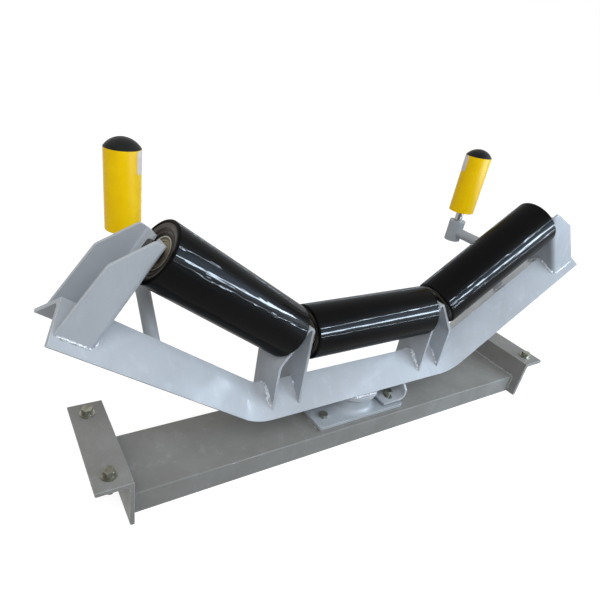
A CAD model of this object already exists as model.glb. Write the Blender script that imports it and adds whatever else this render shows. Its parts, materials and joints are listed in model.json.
"""Looks of a self-aligning troughing idler set: paint, rollers, welds, camera and studio."""
import json
import math

import bpy
from mathutils import Matrix, Vector, noise


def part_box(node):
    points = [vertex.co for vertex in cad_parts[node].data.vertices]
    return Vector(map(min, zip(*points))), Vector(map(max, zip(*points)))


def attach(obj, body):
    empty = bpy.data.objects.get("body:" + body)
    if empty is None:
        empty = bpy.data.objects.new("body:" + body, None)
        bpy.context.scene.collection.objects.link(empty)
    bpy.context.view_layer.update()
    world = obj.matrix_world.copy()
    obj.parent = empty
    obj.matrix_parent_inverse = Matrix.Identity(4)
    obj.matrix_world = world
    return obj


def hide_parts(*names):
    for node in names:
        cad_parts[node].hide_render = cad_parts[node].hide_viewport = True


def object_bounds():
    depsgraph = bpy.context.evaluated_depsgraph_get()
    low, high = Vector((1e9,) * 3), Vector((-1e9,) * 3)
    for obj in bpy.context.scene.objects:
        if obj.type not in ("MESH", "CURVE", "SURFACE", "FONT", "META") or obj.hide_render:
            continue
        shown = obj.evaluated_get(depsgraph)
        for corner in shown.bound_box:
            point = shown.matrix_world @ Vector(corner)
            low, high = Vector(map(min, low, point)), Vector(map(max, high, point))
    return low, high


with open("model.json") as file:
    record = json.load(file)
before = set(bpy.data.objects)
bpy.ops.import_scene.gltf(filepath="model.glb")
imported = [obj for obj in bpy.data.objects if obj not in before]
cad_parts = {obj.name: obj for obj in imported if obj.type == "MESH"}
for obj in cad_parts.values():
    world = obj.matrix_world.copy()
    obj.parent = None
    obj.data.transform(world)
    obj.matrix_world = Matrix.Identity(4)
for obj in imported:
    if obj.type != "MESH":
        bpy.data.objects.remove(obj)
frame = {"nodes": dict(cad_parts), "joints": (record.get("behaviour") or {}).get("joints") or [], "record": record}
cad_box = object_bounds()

MM = 0.001
NODES = frame["nodes"]
JOINTS = {j["name"]: j for j in frame["joints"]}
SIDES = {"left": -1, "right": 1}
ROLLER_LEN = 0.315


# ---------- node helpers ----------

def rgb(red, green, blue):
    """Linear colour from display values of 0 to 255."""
    def linear(c):
        c /= 255
        return c / 12.92 if c < 0.04045 else ((c + 0.055) / 1.055) ** 2.4
    return (linear(red), linear(green), linear(blue), 1)


class Nodes:
    """Short ways to add nodes to a tree and join them."""

    def __init__(self, tree):
        self.tree = tree

    def node(self, kind, sockets=(), **settings):
        made = self.tree.nodes.new(kind)
        for key, value in settings.items():
            setattr(made, key, value)
        for key, value in dict(sockets).items():
            self.put(made.inputs[key], value)
        return made

    def put(self, socket, value):
        if isinstance(value, bpy.types.NodeSocket):
            self.tree.links.new(value, socket)
        else:
            socket.default_value = value

    def math(self, operation, *values):
        return self.node("ShaderNodeMath", enumerate(values), operation=operation).outputs[0]

    def mix(self, factor, first, second, blend="MIX"):
        made = self.node("ShaderNodeMix", data_type="RGBA", blend_type=blend)
        for index, value in ((0, factor), (6, first), (7, second)):
            self.put(made.inputs[index], value)
        return made.outputs[2]

    def seen(self):
        """1 for what the camera, mirrors and glass see, 0 for light that falls on the object."""
        rays = self.node("ShaderNodeLightPath").outputs
        shown = self.math("MAXIMUM", rays["Is Camera Ray"], rays["Is Glossy Ray"])
        return self.math("MAXIMUM", shown, rays["Is Transmission Ray"])


class Shader(Nodes):
    """A material with procedural patterns in object coordinates."""

    def __init__(self, name, **principled):
        self.material = bpy.data.materials.new(name)
        self.material.use_nodes = True
        super().__init__(self.material.node_tree)
        self.surface = self.tree.nodes["Principled BSDF"]
        for socket, value in principled.items():
            self.surface.inputs[socket.replace("_", " ")].default_value = value
        self.where = self.tree.nodes.new("ShaderNodeTexCoord").outputs["Object"]

    def stretched(self, scale, origin=(0, 0, 0), turn=(0, 0, 0)):
        """Object coordinates about a point, turned and scaled."""
        moved = self.node("ShaderNodeVectorMath", {0: self.where, 1: origin}, operation="SUBTRACT")
        turned = self.node("ShaderNodeMapping", {"Vector": moved.outputs[0], "Rotation": turn})
        return self.node("ShaderNodeVectorMath", {0: turned.outputs[0], 1: scale},
                         operation="MULTIPLY").outputs[0]

    def noise(self, scale, detail=3.0, rough=0.5, vector=None, distort=0.0):
        return self.node("ShaderNodeTexNoise", {
            "Vector": vector or self.where, "Scale": scale, "Detail": detail,
            "Roughness": rough, "Distortion": distort}).outputs["Fac"]

    def ramp(self, value, *stops):
        """Value through stops of (place, level or colour)."""
        made = self.node("ShaderNodeValToRGB", {"Fac": value})
        ramp = made.color_ramp
        while len(ramp.elements) < len(stops):
            ramp.elements.new(0.5)
        for element, (place, level) in zip(ramp.elements, stops):
            element.position = place
            element.color = level if isinstance(level, tuple) else (level, level, level, 1)
        return made.outputs["Color"]

    def bump(self, height, strength, distance, under=None):
        made = self.node("ShaderNodeBump", {"Height": height, "Strength": strength,
                                            "Distance": distance})
        if under:
            self.put(made.inputs["Normal"], under)
        return made.outputs["Normal"]

    def edges(self, radius):
        """How far the rounded normal leaves the flat one: bright along every edge."""
        self.rounding = self.node("ShaderNodeBevel", {"Radius": radius}, samples=4).outputs[0]
        flat = self.node("ShaderNodeNewGeometry").outputs["Normal"]
        same = self.node("ShaderNodeVectorMath", {0: self.rounding, 1: flat},
                         operation="DOT_PRODUCT").outputs["Value"]
        return self.math("SUBTRACT", 1.0, same)

    def finish(self, color=None, roughness=None, normal=None, metallic=None):
        for key, value in (("Base Color", color), ("Roughness", roughness), ("Normal", normal),
                           ("Metallic", metallic)):
            if value is not None:
                self.put(self.surface.inputs[key], value)
        return self.material


# ---------- materials ----------

def paint(name, light, dark, rough, coat, smears=0.3):
    """Brushed enamel: cloudy shade, fine dust, orange peel, runs and bright bare edges."""
    s = Shader(name, Coat_Weight=coat, Coat_Roughness=0.08, Specular_IOR_Level=0.06, IOR=1.5)
    cloud = s.ramp(s.noise(9, 4, 0.6), (0.3, 0.0), (0.7, 1.0))
    color = s.mix(cloud, dark, light)
    dust = s.ramp(s.noise(900, 2, 0.7), (0.60, 0.0), (0.74, 0.30))
    color = s.mix(dust, color, rgb(104, 106, 104))
    smear = s.ramp(s.noise(48, 5, 0.65, s.stretched((1, 1, 0.25))), (0.55, 0.0), (0.8, smears))
    color = s.mix(smear, color, rgb(205, 212, 220))
    edge = s.edges(0.0014)
    color = s.mix(s.ramp(edge, (0.02, 0.0), (0.20, 0.85)), color, rgb(226, 231, 234))
    roughness = s.ramp(s.noise(26, 4, 0.6), (0.3, rough - 0.08), (0.75, rough + 0.14))
    peel = s.bump(s.noise(240, 2, 0.5), 0.10, 0.0006, s.rounding)
    runs = s.bump(s.noise(34, 3, 0.6, s.stretched((1, 1, 0.3))), 0.22, 0.0012, peel)
    return s.finish(color, roughness, runs)


def weld_paint(name, light, dark):
    """Thick glossy enamel over the scale and spatter of a weld."""
    s = Shader(name, Coat_Weight=0.36, Coat_Roughness=0.05, Specular_IOR_Level=0.4, IOR=1.5)
    color = s.mix(s.ramp(s.noise(210, 4, 0.6), (0.40, 0.0), (0.60, 1.0)), dark, light)
    scale = s.bump(s.noise(230, 3, 0.6), 0.6, 0.003)
    return s.finish(color, s.ramp(s.noise(90, 3), (0.3, 0.12), (0.8, 0.34)), scale)


def roller_black(name, origin, turn, crinkle):
    """Black enamel whose film breaks highlights into streaks along the roller."""
    s = Shader(name, Coat_Weight=0.10, Coat_Roughness=0.012, Specular_IOR_Level=0.015, IOR=1.5)
    along = s.stretched((0.13, 1, 1), origin, turn)
    color = s.mix(s.ramp(s.noise(30, 4, 0.6, along), (0.35, 0.0), (0.8, 1.0)),
                  rgb(5, 5, 6), rgb(12, 11, 11))
    normal = s.bump(s.noise(9, 2, 0.5, along), 0.12 * crinkle, 0.003)
    normal = s.bump(s.noise(210, 1, 0.5, along), 0.26 * crinkle, 0.0008, normal)
    s.put(s.surface.inputs["Coat Normal"], normal)
    roughness = s.ramp(s.noise(40, 4, 0.65, along), (0.3, 0.24), (0.8, 0.40))
    return s.finish(color, roughness, normal)


def turned_face(name, origin, turn, *stops):
    """Pressed or moulded disc in rings of shade, from its axis out to 54 mm."""
    s = Shader(name, Coat_Weight=0.12, Coat_Roughness=0.12, Specular_IOR_Level=0.15, IOR=1.5)
    place = s.node("ShaderNodeSeparateXYZ", {0: s.stretched((0, 1, 1), origin, turn)})
    y, z = place.outputs[1], place.outputs[2]
    radius = s.math("SQRT", s.math("MULTIPLY_ADD", z, z, s.math("MULTIPLY", y, y)))
    color = s.ramp(s.math("DIVIDE", radius, 0.054), *stops)
    grime = s.ramp(s.noise(140, 4, 0.65), (0.4, 0.0), (0.8, 0.4))
    color = s.mix(grime, color, rgb(40, 38, 34))
    groove = s.math("SINE", s.math("MULTIPLY", radius, 2400))
    normal = s.bump(groove, 0.25, 0.0003)
    return s.finish(color, s.ramp(s.noise(90, 3), (0.3, 0.28), (0.8, 0.46)), normal)


def metal(name, light, dark, rough, grain=(1, 1, 1)):
    """Plated or ground metal with a fine grain."""
    s = Shader(name, Metallic=0.85)
    cloud = s.ramp(s.noise(55, 4, 0.6), (0.3, 0.0), (0.75, 1.0))
    color = s.mix(cloud, dark, light)
    fine = s.noise(600, 3, 0.6, s.stretched(grain))
    roughness = s.ramp(fine, (0.3, rough - 0.08), (0.8, rough + 0.16))
    return s.finish(color, roughness, s.bump(fine, 0.25, 0.0003))


def moulded(name, light, dark, rough, bump=0.12, scale=420):
    """Moulded plastic with a faint mottle."""
    s = Shader(name, Specular_IOR_Level=0.11, IOR=1.5)
    cloud = s.ramp(s.noise(38, 4, 0.6), (0.35, 0.0), (0.75, 1.0))
    color = s.mix(cloud, dark, light)
    fine = s.noise(scale, 3, 0.6)
    roughness = s.ramp(fine, (0.3, rough - 0.06), (0.8, rough + 0.1))
    return s.finish(color, roughness, s.bump(fine, bump, 0.0003))


FRAME_PAINT = paint("frame_paint", rgb(173, 179, 187), rgb(160, 165, 172), 0.34, 0.012)
BASE_PAINT = paint("base_paint", rgb(138, 139, 138), rgb(123, 123, 121), 0.36, 0.04, 0.14)
HOUSING_PAINT = paint("housing_paint", rgb(168, 176, 184), rgb(152, 158, 166), 0.32, 0.05, 0.2)
FRAME_WELD = weld_paint("frame_weld", rgb(222, 228, 236), rgb(164, 168, 172))
BASE_WELD = weld_paint("base_weld", rgb(160, 163, 164), rgb(118, 119, 118))
ZINC = metal("zinc", rgb(162, 162, 148), rgb(106, 105, 95), 0.34)
STEEL = metal("ground_steel", rgb(200, 200, 198), rgb(140, 138, 134), 0.26)
DARK_STEEL = metal("dark_steel", rgb(96, 93, 92), rgb(50, 48, 49), 0.34)
YELLOW = moulded("yellow_sleeve", rgb(248, 207, 5), rgb(243, 198, 3), 0.28, 0.04, 160)
CAP = moulded("black_cap", rgb(30, 32, 30), rgb(18, 20, 19), 0.42)
LABEL = moulded("blank_label", rgb(232, 224, 224), rgb(214, 206, 206), 0.5)


def roller_frame(joint):
    """Middle of a roller in metres and the turn that lays its axis along X."""
    x, _, z = joint["axis"]
    return tuple(joint["pos_m"]), (0, math.atan2(z, x), 0)


CRINKLE = {"left": 1.3, "centre": 0.35, "right": 1.1}


def roller_materials(side):
    """Tube, end plate and seal of one trough roller, with patterns that follow its axis."""
    place = roller_frame(JOINTS[f"roller_{side}_spin"])
    return {
        "black_roller": roller_black(f"roller_black_{side}", *place, CRINKLE[side]),
        "pressed_seat": turned_face(
            f"pressed_seat_{side}", *place, (0.475, rgb(84, 79, 62)), (0.505, rgb(226, 221, 204)),
            (0.535, rgb(36, 33, 29)), (0.60, rgb(26, 25, 23)), (0.64, rgb(78, 72, 64)),
            (0.68, rgb(30, 28, 26)), (0.78, rgb(72, 66, 60)), (0.86, rgb(44, 41, 38)),
            (0.92, rgb(20, 19, 18))),
        "seal": turned_face(f"seal_{side}", *place, (0.0, rgb(60, 56, 48)),
                            (0.28, rgb(98, 90, 74)), (0.36, rgb(158, 150, 122)),
                            (0.43, rgb(128, 120, 96)), (0.48, rgb(50, 46, 38))),
    }


SLOT_MATERIALS = {
    "frame_paint": FRAME_PAINT, "base_paint": BASE_PAINT, "zinc": ZINC, "steel": STEEL,
    "dark_steel": DARK_STEEL, "yellow_sleeve": YELLOW, "black_cap": CAP,
    "pressed_seat": DARK_STEEL,
}


def dress_nodes():
    """Every CAD node gets the material of its slot."""
    by_side = {side: roller_materials(side) for side in ("left", "centre", "right")}
    for sub in frame["record"]["subparts"]:
        name, slot = sub["node"], sub["material_slot"]
        side = name.rsplit("_", 1)[-1]
        trough = name.startswith(("roller_", "bearing_seats", "shaft_"))
        material = (by_side[side].get(slot) if trough else None) or SLOT_MATERIALS[slot]
        if name == "pivot_housing":
            material = HOUSING_PAINT
        elif name.startswith("guide_spindle"):
            material = STEEL
        elif name.startswith("roller_shaft"):
            material = DARK_STEEL
        NODES[name].data.materials.clear()
        NODES[name].data.materials.append(material)


def smooth_nodes(angle=32):
    """Rounded faces shade smoothly and edges stay crisp."""
    for node in NODES.values():
        node.data.shade_smooth()
        node.data.set_sharp_from_angle(angle=math.radians(angle))


# ---------- welds and labels ----------

BELT_Y = -0.015
RIDGE_Z = 0.0715
BEND_X = 0.249
TROUGH = math.radians(35)
UPRIGHT_X, LEG_X = 0.166, 0.227     # plates of an inner bracket
WEB_S, WEB_END = 0.345, 0.409       # an outer bracket, along its wing
BRACKET_HALF = 0.040
PLATE_HALF = 0.0025


def wing(side, along, y, out):
    """Point in the frame of a wing: along its ridge, across it and away from it."""
    return Vector((side * (BEND_X + along * math.cos(TROUGH) - out * math.sin(TROUGH)),
                   BELT_Y + y, RIDGE_Z + along * math.sin(TROUGH) + out * math.cos(TROUGH)))


def piece(name, body, verts, faces, material, smooth=True):
    mesh = bpy.data.meshes.new(name)
    mesh.from_pydata(verts, [], faces)
    mesh.validate()
    if smooth:
        mesh.shade_smooth()
    mesh.materials.append(material)
    made = bpy.data.objects.new(name, mesh)
    bpy.context.scene.collection.objects.link(made)
    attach(made, body)
    return made


def resampled(path, step):
    """Points every step along a polyline."""
    out = [path[0]]
    for a, b in zip(path, path[1:]):
        count = max(1, round((b - a).length / step))
        out += [a.lerp(b, i / count) for i in range(1, count + 1)]
    return out


def bead_mesh(path, radius, sides=12):
    """Lumpy weld bead along a path: rippled, uneven and tapered at both ends."""
    path = resampled([Vector(p) for p in path], radius * 0.25)
    last = len(path) - 1
    loop = (path[0] - path[-1]).length < 1e-6
    verts, faces = [], []
    for i, place in enumerate(path):
        ahead = path[(i + 1) % last] if loop else path[min(i + 1, last)]
        behind = path[(i - 1) % last] if loop else path[max(i - 1, 0)]
        heading = (ahead - behind).normalized()
        across = heading.cross(Vector((0.37, 0.29, 0.88))).normalized()
        over = heading.cross(across)
        fade = 1 if loop else min(1, 0.3 + 0.7 * i / 5, 0.3 + 0.7 * (last - i) / 5)
        ripple = 1 + 0.07 * math.sin(i * 1.7) + 0.30 * noise.noise(place / (radius * 2.6))
        for k in range(sides):
            a = 2 * math.pi * k / sides
            outward = math.cos(a) * across + math.sin(a) * over
            lump = 1 + 0.38 * noise.noise((place + outward * radius) / (radius * 1.2))
            verts.append(place + outward * radius * fade * ripple * lump)
    rings = last if loop else last + 1
    for i in range(rings if loop else rings - 1):
        for k in range(sides):
            a, b = i * sides, ((i + 1) % rings) * sides
            faces.append((a + k, a + (k + 1) % sides, b + (k + 1) % sides, b + k))
    if not loop:
        faces += [tuple(reversed(range(sides))), tuple(range(last * sides, (last + 1) * sides))]
    return verts[:rings * sides], faces


def welds(name, body, slot, *beads):
    """One piece of several beads, each a path and its radius."""
    verts, faces = [], []
    for path, radius in beads:
        more, rings = bead_mesh(path, radius)
        faces += [tuple(len(verts) + i for i in ring) for ring in rings]
        verts += more
    return piece(name, body, verts, faces, FRAME_WELD if slot == "frame_paint" else BASE_WELD)


def leg_line(x, near, far, leg):
    """Down the outer face of the beam's middle, from near to far off the ridge."""
    return [(x, BELT_Y + leg * near, RIDGE_Z - near), (x, BELT_Y + leg * far, RIDGE_Z - far)]


def arm_loop(side):
    """Where a guide arm meets the back leg of its wing."""
    x0, y0, z0, radius = 0.447, 0.076, 0.2655, 0.0132
    slope = math.radians(50)
    heading = Vector((0, -math.cos(slope), -math.sin(slope)))
    over = Vector((0, -math.sin(slope), math.cos(slope)))
    normal = Vector((-math.sin(TROUGH), 1, math.cos(TROUGH)))
    ridge = Vector((BEND_X, BELT_Y, RIDGE_Z))
    loop = []
    for k in range(25):
        a = 2 * math.pi * k / 24
        start = Vector((x0 + radius * math.cos(a), y0, z0)) + radius * math.sin(a) * over
        p = start + heading * ((ridge - start).dot(normal) / heading.dot(normal))
        loop.append((side * p.x, p.y, p.z))
    return loop


def make_welds():
    base_low, base_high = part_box("base_channel")
    for name, side in SIDES.items():
        inner = UPRIGHT_X - PLATE_HALF
        outer = LEG_X + PLATE_HALF
        welds(f"inner_bracket_welds_{name}", "swivel_frame", "frame_paint",
              (leg_line(side * inner, 0.002, 0.037, -1), 0.0060),
              (leg_line(side * outer, 0.002, 0.039, -1), 0.0066),
              (leg_line(side * inner, 0.006, 0.036, 1), 0.0040),
              (leg_line(side * outer, 0.006, 0.036, 1), 0.0040))
        across = [(wing(side, WEB_S, leg * 0.004, -0.004), wing(side, WEB_S, leg * 0.037, -0.037))
                  for leg in (-1, 1)]
        foot = [(wing(side, WEB_S + 0.004, leg * BRACKET_HALF, -BRACKET_HALF),
                 wing(side, WEB_END - 0.003, leg * BRACKET_HALF, -BRACKET_HALF))
                for leg in (-1, 1)]
        welds(f"outer_bracket_welds_{name}", "swivel_frame", "frame_paint",
              (across[0], 0.0042), (across[1], 0.0034), (foot[0], 0.0024), (foot[1], 0.0024))
        welds(f"guide_arm_weld_{name}", "swivel_frame", "frame_paint", (arm_loop(side), 0.0030))
        end = side * (base_high.x - 0.0005)
        welds(f"channel_end_weld_{name}", "base", "base_paint",
              ([(end, base_low.y, base_low.z + 0.004), (end, base_low.y, base_high.z - 0.0005),
                (end, base_high.y, base_high.z - 0.0005),
                (end, base_high.y, base_low.z + 0.004)], 0.0027))
    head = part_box("pivot_head")[1]
    for leg in (-1, 1):
        toe = BELT_Y + leg * 0.0540
        welds("pivot_head_weld_" + ("front" if leg < 0 else "back"), "swivel_frame",
              "frame_paint", ([(-0.030, toe, head.z), (0.030, toe, head.z)], 0.0028))
    low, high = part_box("pivot_base_plate")
    welds("pivot_plate_welds", "base", "base_paint",
          *[([(x, y - 0.018, low.z), (x, y + 0.018, low.z)], 0.0022)
            for x in (low.x, high.x) for y in (low.y + 0.03, high.y - 0.03)])


# ---------- ends of the trough rollers ----------

# Pressed end cup, as distance from the axis and depth from the roller's end, in mm
CUP = [(49.6, 4.0), (48.8, 2.4), (48.6, 1.3), (47.6, 0.8), (45.4, 1.0), (42, 2.0), (39.4, 3.2),
       (38.8, 4.2), (37.8, 4.4), (37.0, 3.8), (34, 5.0), (32.6, 5.8), (32.0, 6.8), (31.0, 7.0),
       (30.4, 6.4), (28.8, 6.8), (27.8, 6.2), (26.8, 6.6), (26.2, 7.6), (26.0, 29), (29, 29),
       (29, 11), (31, 9.6), (38, 8.0), (45, 5.6), (46.6, 7.5), (46.6, 24), (49.9, 24)]


def make_cups(side):
    """Cups in both ends of a roller, turned about its axis."""
    place, (_, tilt, _) = roller_frame(JOINTS[f"roller_{side}_spin"])
    lay = Matrix.Translation(place) @ Matrix.Rotation(-tilt, 4, "Y")
    half = 0.5 * ROLLER_LEN
    turns, ring = 96, len(CUP)
    verts, faces = [], []
    for end in (-1, 1):
        first = len(verts)
        for t in range(turns):
            a = 2 * math.pi * t / turns
            verts += [lay @ Vector((end * (half - d * MM), r * MM * math.cos(a),
                                    end * r * MM * math.sin(a))) for r, d in CUP]
        for t in range(turns):
            a, b = first + t * ring, first + (t + 1) % turns * ring
            faces += [(a + k, b + k, b + (k + 1) % ring, a + (k + 1) % ring) for k in range(ring)]
    cups = piece(f"end_cups_{side}", f"roller_{side}", verts, faces,
                 NODES[f"bearing_seats_{side}"].data.materials[0])
    cups.data.set_sharp_from_angle(angle=math.radians(40))
    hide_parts(f"bearing_seats_{side}")


def make_label(name, start, stop):
    """Blank sticker wrapped on a guide roller just under its cap."""
    centre = Vector(JOINTS[f"guide_{name}_spin"]["pos_m"])
    low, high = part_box(f"guide_shell_{name}")
    radius = (high.x - low.x) / 2
    top, tall = high.z - 0.0006, 0.039
    columns = 20
    verts, faces = [], []
    for i in range(columns + 1):
        a = math.radians(start + (stop - start) * i / columns)
        corner = 0.004 if i in (0, columns) else 0.0012 if i in (1, columns - 1) else 0
        for r in (radius + 0.00005, radius + 0.0003):
            for z in (top - tall + corner, top - corner):
                verts.append((centre.x + r * math.cos(a), centre.y + r * math.sin(a), z))
    for i in range(columns):
        a, b = 4 * i, 4 * i + 4
        faces += [(a, a + 1, b + 1, b), (a + 2, b + 2, b + 3, a + 3),
                  (a, b, b + 2, a + 2), (a + 1, a + 3, b + 3, b + 1)]
    end = 4 * columns
    faces += [(0, 2, 3, 1), (end, end + 1, end + 3, end + 2)]
    piece(f"blank_label_{name}", f"guide_{name}", verts, faces, LABEL, False)


# ---------- camera and studio ----------

def make_camera():
    """Camera at the height, turn and tilt from which the idler is seen."""
    yaw, pitch, roll = math.radians(34.26), math.radians(-29.22), math.radians(9.17)
    forward = Vector((math.sin(yaw) * math.cos(pitch), math.cos(yaw) * math.cos(pitch),
                      math.sin(pitch)))
    level = Vector((math.cos(yaw), -math.sin(yaw), 0))
    upright = level.cross(forward)
    right = math.cos(roll) * level + math.sin(roll) * upright
    up = math.cos(roll) * upright - math.sin(roll) * level
    data = bpy.data.cameras.new("camera")
    data.lens = 30.33
    data.shift_x, data.shift_y = 0.0407, 0.0295
    camera = bpy.data.objects.new("camera", data)
    bpy.context.scene.collection.objects.link(camera)
    camera.matrix_world = Matrix.Translation((-0.680, -0.6785, 0.6654)) @ Matrix(
        (right, up, -forward)).transposed().to_4x4()
    bpy.context.scene.camera = camera


def area_light(name, place, size, power, tint=(1, 1, 1), gloss=True, diffuse=True):
    data = bpy.data.lights.new(name, "AREA")
    data.shape = "RECTANGLE"
    data.size, data.size_y = size
    data.energy = power
    data.color = tint
    light = bpy.data.objects.new(name, data)
    light.location = place
    light.rotation_euler = (Vector((0, 0, 0.15)) - light.location).to_track_quat(
        "-Z", "Y").to_euler()
    light.visible_camera = False
    light.visible_glossy = gloss
    light.visible_diffuse = diffuse
    bpy.context.scene.collection.objects.link(light)


def make_studio():
    """Pale floor that keeps the shadow, white surroundings and window-like strips of light."""
    world = bpy.data.worlds.new("studio")
    bpy.context.scene.world = world
    world.use_nodes = True
    sky = Nodes(world.node_tree)
    sky.put(world.node_tree.nodes["Background"].inputs["Color"],
            sky.mix(sky.seen(), (0.65, 0.63, 0.595, 1), (1, 1, 1, 1)))

    low = cad_box[0].z
    reach = 30
    mesh = bpy.data.meshes.new("floor")
    mesh.from_pydata([(-reach, -reach, low), (reach, -reach, low), (reach, reach, low),
                      (-reach, reach, low)], [], [(0, 1, 2, 3)])
    floor = bpy.data.objects.new("floor", mesh)
    bpy.context.scene.collection.objects.link(floor)
    s = Shader("floor", Roughness=0.9, Specular_IOR_Level=0.0)
    s.finish(s.mix(s.ramp(s.noise(3, 2), (0.3, 0.0), (0.7, 1.0)), rgb(148, 148, 147),
                   rgb(153, 153, 152)))
    s.put(s.surface.inputs["Emission Color"], (1, 1, 1, 1))
    s.put(s.surface.inputs["Emission Strength"], s.math("MULTIPLY", s.seen(), 0.84))
    mesh.materials.append(s.material)

    blue = (0.70, 0.85, 1.0)
    area_light("window", (1.10, -0.95, 0.80), (1.2, 0.6), 9, blue, gloss=False)
    area_light("low_window", (1.00, -1.10, 0.06), (0.9, 0.3), 5, blue, gloss=False)
    area_light("sky", (-0.75, -1.25, 1.75), (1.8, 1.2), 23, (0.92, 0.96, 1.0), gloss=False)
    area_light("window_low", (1.30, -1.40, 0.60), (2.2, 0.12), 165, blue, diffuse=False)
    area_light("window_pane", (1.28, -1.38, 0.90), (2.3, 0.42), 10, (0.4, 0.6, 1), diffuse=False)
    area_light("window_high", (1.22, -1.32, 1.22), (2.4, 0.03), 58, blue, diffuse=False)
    area_light("window_sill", (1.30, -1.40, 0.16), (1.8, 0.02), 22, blue, diffuse=False)
    area_light("far_window", (1.14, 1.34, 0.36), (1.6, 0.02), 3.2, blue, diffuse=False)


bpy.context.scene.view_settings.view_transform = "Standard"
dress_nodes()
smooth_nodes()
make_welds()
for name in ("left", "centre", "right"):
    make_cups(name)
make_label("left", -57, 0)
make_label("right", 110, 175)
make_camera()
make_studio()
